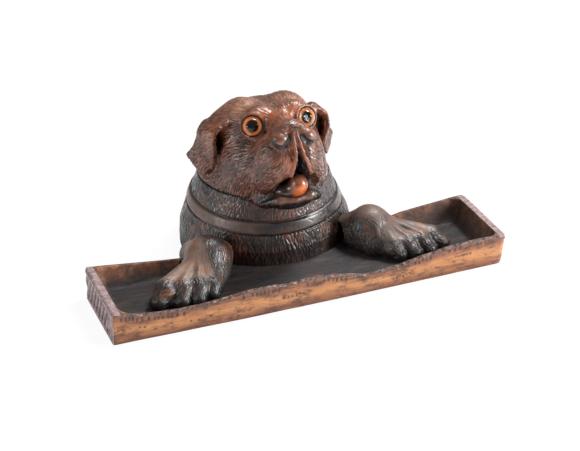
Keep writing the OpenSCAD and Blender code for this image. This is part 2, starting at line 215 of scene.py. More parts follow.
def sculpt(form, low, high, step):
    """Vertices, quads and outward normals of a form, with the vertices drawn onto its surface."""
    field, low = sample(form, low, high, step)
    points, quads = surface(field, low, step)
    points = points.astype(np.float32)
    g = gradient(form, points)
    length = (g * g).sum(-1, keepdims=True)
    move = form(points)[:, None] * g / np.maximum(length, 0.2)
    points = points - np.clip(move, -0.5 * step, 0.5 * step)
    g = gradient(form, points)
    return points, quads, g / np.maximum(np.linalg.norm(g, axis=-1, keepdims=True), 1e-6)


# Carving: short curved gouge strokes that follow the lie of the fur

# How far apart strokes are kept, as a share of half their width
SPACING = 1.7
# A stroke reaches the points whose normals are this near to its own, as a cosine
FACING = 0.3


def chisel(points, normals, lie, where, count, length, width, depth, spread=14):
    """How deep the strokes cut at each point.

    lie is the fur's direction, and where says how likely a stroke is to start at each point.
    """
    cut = np.zeros(len(points), np.float32)
    taken = np.zeros(len(points), bool)
    tree = kdtree.KDTree(len(points))
    for i, p in enumerate(points):
        tree.insert(p, i)
    tree.balance()
    starts = rng.choice(len(points), count, p=where / where.sum())
    angles = rng.normal(0, math.radians(spread), count)
    lengths = rng.uniform(*length, count)
    widths = rng.uniform(*width, count)
    depths = rng.uniform(*depth, count)
    bends = rng.normal(0, 0.012, count)
    for at, angle, long, wide, deep, bend in zip(starts, angles, lengths, widths, depths, bends):
        if taken[at]:
            continue
        n = normals[at]
        t = lie[at] - n * (lie[at] @ n)
        size = np.linalg.norm(t)
        if size < 1e-4:
            continue
        t = t / size
        side = np.cross(n, t)
        c, s = math.cos(angle), math.sin(angle)
        t, side = t * c + side * s, side * c - t * s
        found = tree.find_range(points[at], long / 2 + wide)
        near = np.fromiter((f[1] for f in found), int, len(found))
        q = points[near] - points[at]
        u = q @ t / (long / 2)
        v = np.abs(q @ side + bend * (q @ t) ** 2) / (wide / 2)
        facing = normals[near] @ n > FACING
        cut[near] = np.maximum(cut[near], held(1 - v ** 1.4) * held(1 - u ** 4) * facing * deep)
        taken[near] |= (v < SPACING) & (np.abs(u) < 0.85) & facing
    return cut


# Numbers that turn a grid corner's place into a random one
HASH_AXES = np.array([374761393, 668265263, 2147483647])
HASH_MIX = 1274126177


def noise(points, scale, seed, octaves=3):
    """Smooth value noise from -1 to 1, scale in millimetres."""
    total, weight = np.zeros(len(points)), 0
    for o in range(octaves):
        p = points / (scale / 2 ** o) + seed * 17.3 + o * 5.1
        i = np.floor(p).astype(np.int64)
        f = p - i
        f = f * f * (3 - 2 * f)
        value = np.zeros(len(points))
        for corner in np.ndindex(2, 2, 2):
            h = (i + corner) @ HASH_AXES
            h = (h ^ (h >> 13)) * HASH_MIX
            r = ((h ^ (h >> 16)) & 0xFFFF) / 65535.0 * 2 - 1
            w = np.where(corner, f, 1 - f)
            value += r * w[:, 0] * w[:, 1] * w[:, 2]
        total += value / 2 ** o
        weight += 1 / 2 ** o
    return total / weight


def drift(points, scale, seeds, octaves=3):
    """A direction that wanders from point to point."""
    return np.stack([noise(points, scale, seed, octaves) for seed in seeds], 1)


def patch(points, middle, radii):
    """1 in the middle of a soft oval patch, 0 outside it."""
    d = (points - np.array(middle)) / np.array(radii)
    return np.exp(-(d * d).sum(-1))


def add_object(name, data):
    obj = bpy.data.objects.new(name, data)
    bpy.context.scene.collection.objects.link(obj)
    return obj


def make_piece(name, points, faces, material, body, marks, nodes=()):
    """A mesh that rides on a body, with marks as numbers at its points for the material."""
    mesh = bpy.data.meshes.new(name)
    points = np.asarray(points, np.float32) * MM
    if isinstance(faces, np.ndarray):
        mesh.vertices.add(len(points))
        mesh.vertices.foreach_set("co", points.ravel())
        mesh.loops.add(faces.size)
        mesh.loops.foreach_set("vertex_index", faces.ravel().astype(np.int32))
        mesh.polygons.add(len(faces))
        starts = np.arange(0, faces.size, faces.shape[1], dtype=np.int32)
        mesh.polygons.foreach_set("loop_start", starts)
        mesh.update(calc_edges=True)
    else:
        mesh.from_pydata(points.tolist(), [], faces)
    mesh.validate()
    mesh.polygons.foreach_set("use_smooth", np.ones(len(mesh.polygons), bool))
    for key, values in marks.items():
        attribute = mesh.attributes.new(key, "FLOAT", "POINT")
        attribute.data.foreach_set("value", np.asarray(values, np.float32))
    obj = add_object(name, mesh)
    mesh.materials.append(material)
    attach(obj, body)
    for node in nodes:
        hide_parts(node)


# Materials

def srgb(colour):
    """An 8-bit colour as the linear colour that a node takes."""
    c = [v / 255 for v in colour]
    return tuple((v / 12.92 if v <= 0.04045 else ((v + 0.055) / 1.055) ** 2.4) for v in c) + (1.0,)


class Tree:
    """Short calls to build a material's nodes."""

    def __init__(self, name):
        self.material = bpy.data.materials.new(name)
        self.material.use_nodes = True
        self.nodes = self.material.node_tree.nodes
        self.links = self.material.node_tree.links
        self.shader = self.nodes["Principled BSDF"]
        self.place = self.nodes.new("ShaderNodeTexCoord").outputs["Object"]

    def feed(self, node, inputs):
        """Gives each input a number, a vector or the output of another node."""
        for key, value in inputs.items():
            if isinstance(value, (int, float, tuple, Vector)):
                node.inputs[key].default_value = value
            else:
                self.links.new(value, node.inputs[key])
        return node

    def add(self, kind, inputs):
        return self.feed(self.nodes.new("ShaderNode" + kind), inputs)

    def number(self, name):
        node = self.add("Attribute", {})
        node.attribute_name = name
        return node.outputs["Fac"]

    def math(self, kind, a, b=0.0, clamp=False):
        node = self.add("Math", {0: a, 1: b})
        node.operation = kind
        node.use_clamp = clamp
        return node.outputs[0]

    def times(self, a, b, clamp=False):
        return self.math("MULTIPLY", a, b, clamp)

    def vary(self, value, noise, amount):
        """A value moved up and down by a noise, by half the amount each way."""
        return self.math("ADD", value, self.times(self.math("SUBTRACT", noise, 0.5), amount))

    def vector(self, kind, a, b=(0, 0, 0)):
        node = self.nodes.new("ShaderNodeVectorMath")
        node.operation = kind
        return self.feed(node, {0: a, 1: b}).outputs

    def noise(self, size_mm, detail=3.0, roughness=0.55, stretch=(1, 1, 1), distortion=0.0):
        scale = tuple(s / (size_mm * MM) for s in stretch)
        mapping = self.add("Mapping", {"Scale": scale, "Vector": self.place})
        node = self.add("TexNoise", {"Scale": 1.0, "Detail": detail, "Roughness": roughness,
                                     "Distortion": distortion, "Vector": mapping.outputs[0]})
        return node.outputs["Fac"]

    def ramp(self, value, stops):
        """stops are places with an 8-bit colour or a number each."""
        node = self.nodes.new("ShaderNodeValToRGB")
        items = node.color_ramp.elements
        while len(items) < len(stops):
            items.new(0.5)
        for item, (at, colour) in zip(items, stops):
            item.position = at
            item.color = srgb(colour) if isinstance(colour, tuple) else (colour,) * 3 + (1,)
        return self.feed(node, {0: value}).outputs[0]

    def spread(self, noise, low, high):
        """A noise spread out from low to high."""
        return self.ramp(noise, [(0.3, low), (0.7, high)])

    def mix(self, factor, a, b):
        """a and b are 8-bit colours or outputs."""
        node = self.nodes.new("ShaderNodeMix")
        node.data_type = "RGBA"
        a, b = (srgb(colour) if isinstance(colour, tuple) else colour for colour in (a, b))
        return self.feed(node, {0: factor, 6: a, 7: b}).outputs[2]

    def bump(self, height, strength, distance_mm):
        distance = distance_mm * MM
        node = self.add("Bump", {"Strength": strength, "Distance": distance, "Height": height})
        return node.outputs[0]

    def set(self, **values):
        self.feed(self.shader, {name.replace("_", " "): value for name, value in values.items()})


def carved_wood(name, dark, middle, light, rubbed, pale_and_painted_light, groove, gloss=0.42, coat=0.25):
    """Stained, waxed wood: mottled, darker in the cuts, warmer where rubbed, darker with stain and
    painted shade, paler with pale patches and painted light.
    """
    t = Tree(name)
    mottle = t.noise(9, 4, 0.6, distortion=0.4)
    fine = t.noise(1.1, 3, 0.6)
    base = t.ramp(mottle, [(0.3, dark), (0.5, middle), (0.72, light)])
    base = t.mix(t.times(fine, 0.35), base, dark)
    streak = t.noise(2.2, 3, 0.6, (1, 1, 0.35))
    # paler mix: pale patches and painted light, a painted highlight where faces turn up
    base = t.mix(t.times(t.number("pale_and_painted_light"), t.math("ADD", streak, 0.4), True), base, pale_and_painted_light)
    rub = t.times(t.number("rub"), t.math("ADD", t.times(streak, 1.1), 0.35), True)
    base = t.mix(rub, base, rubbed)
    base = t.mix(t.times(t.number("cut"), 0.88, True), base, groove)
    # darker mix: real stain and painted shade in hollows, under overhangs and at the seam
    base = t.mix(t.number("stain_and_painted_shade"), base, groove)
    rough = t.spread(t.noise(3.0, 3), gloss - 0.08, gloss + 0.14)
    rough = t.math("ADD", rough, t.times(t.number("pale_and_painted_light"), 0.3), True)
    t.set(Base_Color=base, Roughness=rough, Normal=t.bump(t.noise(0.5, 3, 0.65), 0.25, 0.1))
    t.set(Specular_IOR_Level=0.5, Coat_Weight=coat, Coat_Roughness=0.28)
    return t.material


def metal(name, colour, dark, rough):
    t = Tree(name)
    tarnish = t.ramp(t.noise(4, 4, 0.65), [(0.35, dark), (0.62, colour)])
    rough = t.spread(t.noise(1.5, 3), rough - 0.08, rough + 0.12)
    t.set(Base_Color=tarnish, Metallic=1.0, Roughness=rough)
    t.set(Normal=t.bump(t.noise(0.6, 2, 0.5, (1, 0.1, 1)), 0.2, 0.05))
    return t.material


head_wood = carved_wood("head_wood", (64, 37, 29), (112, 69, 52), (152, 102, 80),
                        (178, 88, 34), (186, 134, 106), (18, 10, 9), 0.32, 0.2)
neck_wood = carved_wood("neck_wood", (28, 20, 17), (50, 36, 31), (78, 57, 48),
                        (134, 72, 38), (132, 108, 96), (9, 7, 7), 0.34, 0.22)
paw_wood = carved_wood("paw_wood", (28, 21, 18), (50, 39, 34), (80, 63, 54),
                       (134, 74, 36), (150, 120, 104), (8, 7, 7), 0.43, 0.12)


# The bust: rings round an upright line, with the collar as a raised band

# The collar's edges: their height at COLLAR_FRONT and their rise per millimetre towards the back
COLLAR_TOP = (43.6, 0.045)
COLLAR_FOOT = (33.5, 0.075)
COLLAR_FRONT = 20.0
COLLAR_PROUD = 1.3
# Half the bust's width at heights above the desk, and its depth as a share of that
WIDTH_AT = ([0, 8, 20, 35, 44, 52, 60, 68, 78],
            [70.5, 70.6, 69.6, 64.6, 60.9, 58.0, 55.2, 52.0, 48.7])
DEPTH_AT = ([0, 35, 62], [0.93, 0.965, 1.0])
# A mean radius, for the spacing of points
RING_R = 62
# The bust stands on the tray's floor in front of this line, and on the desk behind it
STEP_Y = half_w + 0.4
POT_GAP = 0.4
LIP_WIDTH = 3
LIP_DEPTH = 3
WELL_DEPTH = 42.4
# Room beside the hinge's leaves, and how deep they are let into the bust and the head from the seam
LEAF_GAP = 0.1
LEAF_BED = 1.25
LEAF_HOLLOW = 1.75
# Zones count 0 to 1 up the chest, 1 to 2 up the collar, 2 to 3 up the throat; this is the top edge
TOP_ZONE = 2.99


def bust_half_width(z):
    return np.interp(z, *WIDTH_AT)


def bust_half_depth(z):
    return bust_half_width(z) * np.interp(z, *DEPTH_AT)


def bust_oval(p, grow=0.0):
    """Rough signed distance of the upright oval that the neck and the bust fill."""
    a, b = bust_half_width(p[..., 2]) + grow, bust_half_depth(p[..., 2]) + grow
    x, y = p[..., 0], p[..., 1] - bust_y
    k0 = np.sqrt((x / a) ** 2 + (y / b) ** 2)
    k1 = np.sqrt((x / a ** 2) ** 2 + (y / b ** 2) ** 2) + 1e-6
    return k0 * (k0 - 1) / k1 * 0.9


def bust_rows(unit):
    """Heights and zones of the bust's rings, from the foot to the seam."""
    sides = len(unit)
    pitch = 2 * math.pi * RING_R / sides
    y_at = bust_y + RING_R * unit[:, 1]
    foot = np.where(y_at < STEP_Y, floor_z, 0.0)
    low = COLLAR_FOOT[0] + COLLAR_FOOT[1] * (y_at - COLLAR_FRONT)
    high = COLLAR_TOP[0] + COLLAR_TOP[1] * (y_at - COLLAR_FRONT)
    seam = np.full(sides, seam_z)
    rows, zone = [], []
    stretches = ((foot, low, 34), (low, high, 11), (high, seam, 17))
    for label, (start, end, size) in enumerate(stretches):
        n = int(size / pitch) + 2
        for k in range(n):
            rows.append(start + (end - start) * k / n)
            zone.append(np.full(sides, label + k / n))
    return np.array(rows + [seam]), np.array(zone + [np.full(sides, TOP_ZONE)])


def carve_bust(points, normals, zone):
    """The bust's points with the collar raised and the fur cut in, and how deep each is cut."""
    in_band = (zone >= 1) & (zone < 2)
    across = np.where(in_band, zone - 1, 0)
    band = np.where(in_band, 1 - np.abs(2 * across - 1) ** 6, 0)
    groove = np.exp(-((zone - 0.985) / 0.02) ** 2) + np.exp(-((zone - 2.02) / 0.03) ** 2)
    groove = held(groove)
    swell = noise(points, 26, 3) * 0.9 * (~in_band)
    # The shoulder stands out further on the right
    swell += 2.6 * np.exp(-((points[:, 2] - 22) / 13) ** 2) * ease((points[:, 0] - 30) / 34)
    down = [0, 0, -1] + 0.18 * drift(points, 20, (4, 5, 6))
    chest = chisel(points, normals, down, zone < 0.97, 4600,
                   (6, 13), (1.2, 2.1), (0.3, 0.7))
    throat = chisel(points, normals, down, (zone > 2.06) & (zone < 2.95), 2400,
                    (3.5, 7), (1.1, 1.9), (0.25, 0.55), 18)
    scuffs = chisel(points, normals, np.roll(down, 1, 1) + [1, 0, 0], in_band, 120,
                    (3, 9), (0.9, 1.5), (0.08, 0.2), 30)
    cut = np.maximum(chest * (zone < 0.98), throat * (zone > 2.04))
    out = COLLAR_PROUD * band - groove + swell - cut - scuffs * in_band
    return points + normals * out[:, None], held(cut / 0.6 + groove)


def bust_marks(points, zone, top_edge):
    """Where the bust's wood is rubbed and stained, with painted shade and painted light."""
    x, y, z = points.T
    collar = (zone >= 1.02) & (zone < 1.98)
    rub = 0.95 * held(noise(points, 12, 8) * 1.8) * (zone < 1) * ease((z - 4) / 24)
    rub += 0.45 * held(noise(points, 16, 9) * 1.8) * (zone >= 2)
    rub += 0.3 * patch(points, (-10, 20, 47), (22, 12, 6))
    rub += 0.35 * patch(points, (-8, 18, 37), (30, 14, 3))
    # painted shade: the front of the bust darker below the tray's rim, and the throat under the
    # head
    stain_and_painted_shade = 0.75 * held((24 - z) / 22) * (y < bust_y + 20)
    stain_and_painted_shade += 0.34 * (zone >= 2.03) * (zone < 2.9)
    # the collar's middle takes painted shade between its lit ends; the noise adds real mottling
    middle = ease((x + 48) / 35) * (1 - ease((x - 40) / 20))
    stain_and_painted_shade += collar * (0.7 * middle + 0.5 * held(noise(points * [1, 1, 2.5], 14, 15)))
    # painted shade along the top edge, at the seam under the head
    stain_and_painted_shade = held(np.maximum(stain_and_painted_shade, 0.9 * top_edge))
    # the collar paler towards the left, partly painted light
    pale_and_painted_light = 0.5 * collar * held(0.1 - noise(points, 18, 10) - x / 60)
    return {"rub": held(rub), "stain_and_painted_shade": stain_and_painted_shade, "pale_and_painted_light": pale_and_painted_light}


def ring_quads(lower, upper, sides):
    i = np.arange(sides)
    j = (i + 1) % sides
    return np.stack([lower + i, lower + j, upper + j, upper + i], 1)


def make_bust():
    sides = 720
    theta = np.arange(sides) * 2 * math.pi / sides
    unit = np.stack([np.cos(theta), np.sin(theta)], 1)
    z, zone = bust_rows(unit)
    faces = [ring_quads(k * sides, (k + 1) * sides, sides) for k in range(len(z) - 1)]
    a, b = bust_half_width(z), bust_half_depth(z)
    points = np.stack([a * unit[:, 0], bust_y + b * unit[:, 1], z], -1).reshape(-1, 3)
    normals = np.stack([unit[:, 0] / a, unit[:, 1] / b, np.zeros_like(a) + 0.004], -1)
    normals /= np.linalg.norm(normals, axis=-1, keepdims=True)
    zone = zone.ravel()
    points, cut = carve_bust(points, normals.reshape(-1, 3), zone)
    carved = len(points)
    # Top of the neck, and the well that the pot hangs in
    middle = np.array([0, bust_y])
    pot_r = (pot_high[0] - pot_low[0]) / 2
    lip_r, well_r = pot_r + POT_GAP, pot_r - LIP_WIDTH + POT_GAP
    outer = points[-sides:, :2]
    inside = []
    for t in np.arange(1, 21) / 20:
        flat = outer * (1 - t) + (middle + lip_r * unit) * t
        inside.append(np.column_stack([flat, np.full(sides, seam_z)]))
    for r, depth in ((lip_r, LIP_DEPTH), (well_r, LIP_DEPTH), (well_r, 20), (well_r, WELL_DEPTH),
                     (0.5, WELL_DEPTH)):
        inside.append(np.column_stack([middle + r * unit, np.full(sides, seam_z - depth)]))
    # Underside, in rings towards the middle
    under = []
    for k in range(1, 13):
        flat = middle + (points[:sides, :2] - middle) * (1 - k / 12.2)
        under.append(np.column_stack([flat, np.where(flat[:, 1] < STEP_Y, floor_z, 0)]))
    for rings, last, upward in ((inside, carved - sides, True), (under, 0, False)):
        for ring in rings:
            now = len(points)
            faces.append(ring_quads(last, now, sides) if upward else ring_quads(now, last, sides))
            points = np.concatenate([points, ring])
            last = now
    in_leaf = np.abs(points[:, 0]) < leaf_high[0] + LEAF_GAP
    in_leaf &= points[:, 1] > leaf_low[1] - LEAF_GAP
    points[in_leaf, 2] = np.minimum(points[in_leaf, 2], seam_z - LEAF_BED)
    pad = len(points) - carved
    zone = np.pad(zone, (0, pad), constant_values=TOP_ZONE)
    top_edge = (zone > 2.9) & (np.arange(len(points)) < carved)
    marks = {"cut": np.pad(cut, (0, pad)), **bust_marks(points, zone, top_edge)}
    make_piece("carved_bust", points, np.concatenate(faces), neck_wood, "stand",
               marks, ["bust"])


# The head

# Middle of the right eye's ball from the line between the eyes, and the way it looks
EYE_MIDDLE = np.array([22.4, 50.0, 117.4])
EYE_FACING = (0.271, -0.887, 0.375)
# How far the line between the eyes is to the right of the head's middle
EYE_SHIFT = 2.2
EYE_R = 8.0
HOLLOW_R = 36.0
HOLLOW_TOP = seam_z + 22.4
JAW_FRONT = 37.0


def eye_side(p):
    """Points mirrored in the line between the eyes."""
    return mirrored(p - f32([EYE_SHIFT, 0, 0]))


def skull(p):
    q = mirrored(p)
    d = oval(q, (0, 79, 91), (43, 42, 33))
    d = join(d, oval(q, (18, 77, 101), (23, 26, 28)), 5)
    d = join(d, oval(q, (20, 56, 80), (22, 28, 23)), 12)
    # the skull stays full as far as the root of the left ear
    d = join(d, oval(p, (-31, 80, 108), (15, 16, 11.5)), 5)
    d = join(d, oval(eye_side(p), (14, 57, 121.5), (12.5, 9, 9.5), turn(20)), 6)
    d = join(d, limb(q, (0, 66, 115), (0, 24, 117), 12, 10), 8)
    d = join(d, oval(q, (14, 26, 96), (13.5, 19.5, 21)), 9)
    d = join(d, oval(q, (18, 29, 84), (12, 17, 15)), 6)
    neck = trim(bust_oval(p), 74 - p[..., 2], 10)
    return join(d, neck, 14)


NOSE_RIM = [(0, 12, 131), (6.5, 12.5, 129), (11.5, 14, 123.6), (16.5, 17.5, 115.5)]
RIDGE = [(1.5, 8.4, 126), (2.3, 5.8, 118), (2.9, 4.4, 111),
         (3.9, 4.2, 105), (6.2, 4.8, 98), (8.2, 5.4, 91)]
PHILTRUM = [(0, 7.0, 126), (0, 3.6, 116), (0, 1.8, 108), (0, 1.8, 99), (0, 2.5, 89)]
NOSTRIL = [(5.6, 7.8, 121.5), (8.4, 7.0, 117.2), (11.9, 7.2, 115.0),
           (15.8, 8.6, 115.8), (18.2, 11.6, 119)]
MOUTH = [(0, 5, 84), (7, 6, 84.5), (14, 10, 79.5), (21.5, 15, 71.5), (27, 20, 66)]
MOUTH_R = (6.5, 6.0, 4.6, 3.0, 1.2)
LOWER_LIP = [(0, 9.5, 68.5), (13, 12, 68.5), (22, 19.5, 65)]
# How far the middle line of the muzzle leans to the right at each height
LEAN_AT = ([66, 78, 91, 98, 105, 111, 118, 124.5, 132],
           [0, 1.0, 3.4, 2.9, 2.3, 1.5, 0.3, -0.6, -0.6])


def line_limbs(q, line, radii):
    """Limbs along a line, each point of the line with its own radius."""
    stretches = zip(line[:-1], line[1:], radii[:-1], radii[1:])
    return [limb(q, *stretch) for stretch in stretches]


def line_join(d, q, line, radii, width):
    for added in line_limbs(q, line, radii):
        d = join(d, added, width)
    return d


def line_cut(d, q, line, radii, width):
    return trim(d, np.min(line_limbs(q, line, radii), axis=0), width)


def leaned(p):
    """Points mirrored in the muzzle's own middle line."""
    lean = np.interp(p[..., 2], *LEAN_AT).astype(np.float32) * ease((28 - p[..., 1]) / 14)
    q = p.copy()
    q[..., 0] = np.abs(q[..., 0] - lean)
    return q


def muzzle(p, d):
    q = leaned(p)
    # nose leather with its rim and wings
    d = join(d, oval(q, (0, 20.5, 120.5), (15, 11, 11.5)), 4)
    d = join(d, oval(q, (10.8, 13.0, 119.6), (7.6, 6.4, 7.0), turn(15)), 3)
    d = line_join(d, q, NOSE_RIM, (1.5, 1.4, 1.3, 1.2), 2.5)
    d = join(d, oval(q, (8.8, 15, 99), (7.5, 10.5, 16)), 5)
    # lower lip and chin
    d = join(d, oval(q, (21, 26, 64), (6.5, 10, 7)), 5)
    d = join(d, oval(q, (0, 19, 64), (19, 11, 7)), 4)
    d = line_join(d, q, LOWER_LIP, (4.2, 4.2, 3.6), 4)
    # open mouth, with the groove up to the nose
    d = line_cut(d, q, MOUTH, MOUTH_R, 1.6)
    d = line_cut(d, q, PHILTRUM, (0.7, 1.0, 1.9, 3.9, 6.8), 1.0)
    d = trim(d, oval(q, (0, 12, 79), (12, 14, 8.5)), 2.5)
    # ridges beside the groove
    d = line_join(d, q, RIDGE, (0.9, 1.1, 1.2, 1.3, 1.4, 1.4), 1.6)
    # nostrils
    d = line_cut(d, q, NOSTRIL, (1.3, 2.8, 1.5, 1.4, 0.9), 0.8)
    return d


# The ear's flap, seen square on: places along its length and down from its middle
EAR_FLAP = [(-13, -20), (-1, -16.5), (7, -10.5), (13, -3), (20, 11),
            (9, 22), (-1, 25), (-7.5, 18), (-13.5, -4)]
EAR_MIDDLE = (50, 73, 95)
EAR_ALONG = (0.503, 0.864, 0)
EAR_OUT = (0.864, -0.503, 0)


def outline_distance(u, v, corners):
    """Signed distance of a flat outline, corners in order."""
    best = np.full(u.shape, 1e9, np.float32)
    inside = np.zeros(u.shape, bool)
    for (u0, v0), (u1, v1) in zip(corners, corners[1:] + corners[:1]):
        du, dv = u1 - u0, v1 - v0
        t = held(((u - u0) * du + (v - v0) * dv) / (du * du + dv * dv))
        best = np.minimum(best, (u - u0 - t * du) ** 2 + (v - v0 - t * dv) ** 2)
        inside ^= ((v0 > v) != (v1 > v)) & (u < u0 + (v - v0) * du / (dv if dv else 1e-9))
    return np.where(inside, -np.sqrt(best), np.sqrt(best))


def ears(p):
    q = mirrored(p)
    away = q - f32(EAR_MIDDLE)
    u = away @ f32(EAR_ALONG)
    v = -away[..., 2]
    w = away @ f32(EAR_OUT)
    bend = 0.5 - 0.21 * u + 0.06 * v + 0.03 * u * np.clip(v, -6, 12)
    bend = bend - 0.012 * held(-8 - v, 20) ** 2
    edge = outline_distance(u, v, EAR_FLAP) + 3.0
    thick = np.abs(w - bend) - 0.6
    beyond = np.hypot(np.maximum(edge, 0), np.maximum(thick, 0))
    d = np.minimum(np.maximum(edge, thick), 0) + beyond - 2.2
    roof = join(slab(q, ((36, 64, 116), (38, 84, 109), (51, 82, 103)), 2.8),
                       slab(q, ((36, 64, 116), (51, 82, 103), (44, 62, 114)), 2.8), 2)
    d = join(d * 0.9, roof, 4)
    return join(d, oval(q, (45, 85, 96), (9, 9, 17)), 6)


def head_form(p):
    d = muzzle(p, skull(p))
    q = mirrored(p)
    # furrow between the brows
    d = trim(d, limb(q, (0, 98, 128), (0, 50, 131.5), 3.5, 2.0), 6)
    # hollow round each eye, its lid and the tear duct
    e = eye_side(p)
    d = trim(d, ball(e, EYE_MIDDLE + [0, -4.5, 1.5], EYE_R + 1.5), 3)
    d = join(d, eye_lid(e), 2.6)
    duct = limb(e, EYE_MIDDLE + [-8.4, -5, -4.5], EYE_MIDDLE + [-9.6, -5.5, -9.5], 1.3, 0.6)
    d = trim(d, duct, 1.2)
    d = np.maximum(d, -ball(e, EYE_MIDDLE, EYE_R + 0.15))
    d = join(d, ears(p), 2.5)
    return cut_below(p, d)


def eye_lid(q):
    """A thin rim of wood round the glass, in the eyes' mirrored points."""
    facing = f32(EYE_FACING)
    away = q - EYE_MIDDLE.astype(np.float32)
    s = away @ facing
    around = np.linalg.norm(away - s[..., None] * facing, axis=-1)
    return np.sqrt((around - EYE_R - 1.2) ** 2 + (s - 1.8) ** 2) - 1.0


def cut_below(p, d):
    """The head without what is below the seam, the pot's hollow and the leaf's bed."""
    z = p[..., 2]
    d = trim(d, z - np.where(p[..., 1] < JAW_FRONT, 52, seam_z + 0.4), 1.8)
    neck = np.maximum(bust_oval(p, COLLAR_PROUD + 0.2), z - seam_z - 0.4)
    hollow = np.maximum(np.hypot(p[..., 0], p[..., 1] - bust_y) - HOLLOW_R, z - HOLLOW_TOP)
    leaf = np.maximum(np.abs(p[..., 0]) - leaf_high[0] - LEAF_GAP,
                      leaf_low[1] - LEAF_GAP - p[..., 1])
    leaf = np.maximum(leaf, z - seam_z - LEAF_HOLLOW)
    for cutter in (neck, hollow, leaf):
        d = np.maximum(d, -cutter)
    return d


def on_line(points, line, r):
    """1 on a line of points, falling to 0 at the distance r from it."""
    d = np.min([limb(points, a, b, 0) for a, b in zip(line[:-1], line[1:])], axis=0)
    return 1 - ease(d / r)


def head_lie(points):
    """The way the fur lies: back and down from the nose, straight back on the muzzle's sides."""
    lie = points - np.array([0, 16, 118])
    lie /= np.linalg.norm(lie, axis=1, keepdims=True)
    lie = lie + [0, 0, -0.55]
    side = np.sign(points[:, 0])
    whiskers = patch(mirrored(points), (18, 18, 95), (13, 16, 15))[:, None]
    back = np.stack([0.75 * side, np.full(len(points), 0.75), np.full(len(points), -0.3)], 1)
    lie = lie * (1 - whiskers) + back * whiskers
    return lie + 0.3 * drift(points, 24, (11, 12, 13), 1)


def head_marks(points, q, e):
    """Where the head's wood is rubbed, with painted shade in its hollows and painted light on its
    crown; q and e are its points mirrored in the head's and the eyes' middle."""
    m = leaned(points)
    z = points[:, 2]
    blotch = 0.55 + 0.75 * noise(points, 6, 32)
    rub = 0.9 * patch(q, (13, 44, 129), (9, 9, 7)) + 1.5 * patch(q, (45, 65, 105), (8, 11, 17))
    rub += 0.8 * patch(q, (6, 5, 95), (4, 7, 12)) + 0.8 * patch(q, (3.5, 6, 112), (2.5, 6, 12))
    rub += 0.4 * patch(q, (0, 36, 126), (12, 14, 8))
    rub = rub * held(blotch, 1.3) + 0.25 * held(noise(points, 14, 31))
    ridge = np.array(RIDGE[::-1])
    ridge_x = np.interp(z, ridge[:, 2], ridge[:, 0])
    # painted shade in the groove between the ridges
    gap = held((ridge_x - 0.6 - m[:, 0]) / 1.2) * ease((112 - z) / 8)
    gap *= (z > 76) & (points[:, 1] < 16)
    nostril = 2 * on_line(m, NOSTRIL, 4.2)
    mouth = 1.05 * on_line(m, MOUTH, 8)
    socket = held(1.5 - np.abs(np.linalg.norm(e - EYE_MIDDLE, axis=1) - EYE_R) / 1.4)
    seam = (z < seam_z + 2.2) & (points[:, 1] > 30)
    # painted shade in the nostrils, the open mouth, the groove, along the seam and round the eyes
    stain_and_painted_shade = nostril + mouth + gap + 0.8 * seam + 0.9 * socket
    # painted shade under the ears' roots, under the chin, on the cheeks below the ears and over the
    # nose
    stain_and_painted_shade = stain_and_painted_shade + 0.9 * patch(q, (42, 68, 98), (3.5, 9, 15))
    stain_and_painted_shade += 1.3 * patch(q, (0, 10, 62), (34, 16, 8)) + 0.2 * patch(q, (42, 52, 86), (20, 24, 22))
    stain_and_painted_shade += 0.25 * patch(points, (0, 12, 121), (20, 12, 11))
    # painted light: the crown paler on top, more on the left
    pale_and_painted_light = 0.4 * patch(q, (18, 72, 128), (24, 24, 12))
    pale_and_painted_light += 0.25 * patch(points, (-28, 70, 122), (18, 24, 12))
    pale_and_painted_light *= held(0.6 + noise(points, 8, 33))
    return {"rub": held(rub), "stain_and_painted_shade": held(stain_and_painted_shade), "pale_and_painted_light": held(pale_and_painted_light)}


def make_head():
    step = 0.62
    points, quads, normals = sculpt(head_form, (-70, -4, 48), (70, 140, 145), step)
    q, e = mirrored(points), eye_side(points)
    outside = np.hypot(points[:, 0], points[:, 1] - bust_y) > HOLLOW_R + 1
    outside |= points[:, 2] > HOLLOW_TOP + 1
    outside &= normals[:, 2] > -0.9
    # nose, lips, chin and the rings round the eyes are left without fur
    bare = 1.6 * patch(points, (0, 10, 120), (19, 12, 10))
    bare += 0.8 * patch(points, (0, 5, 96), (9, 14, 18))
    bare += 1.2 * patch(points, (0, 10, 72), (24, 14, 9))
    bare += 1.0 * patch(e, EYE_MIDDLE + [0, -4, 0], (10.5, 8, 10.5))
    fur = outside * (1 - held(bare))
    cut = chisel(points, normals, head_lie(points), fur + 1e-9, 15000,
                 (3.5, 8.5), (1.0, 1.6), (0.45, 0.9), 9)
    cut *= fur * (1 - 0.45 * ease((points[:, 2] - 112) / 12))
    swell = noise(points, 9, 21, 2) * 0.35 * fur
    points = points + normals * (swell - cut)[:, None]
    marks = {"cut": held(cut / 0.65), **head_marks(points, q, e)}
    make_piece("carved_head", points, quads, head_wood, "head", marks, ["head_lid"])


def tongue_form(p):
    d = oval(p, (2.2, 9.0, 81.3), (7.6, 8.2, 8.2))
    d = join(d, oval(p, (-2.5, 14.5, 75.5), (12.5, 9, 6)), 5)
    return np.maximum(d, -bust_oval(p, COLLAR_PROUD + 0.2))


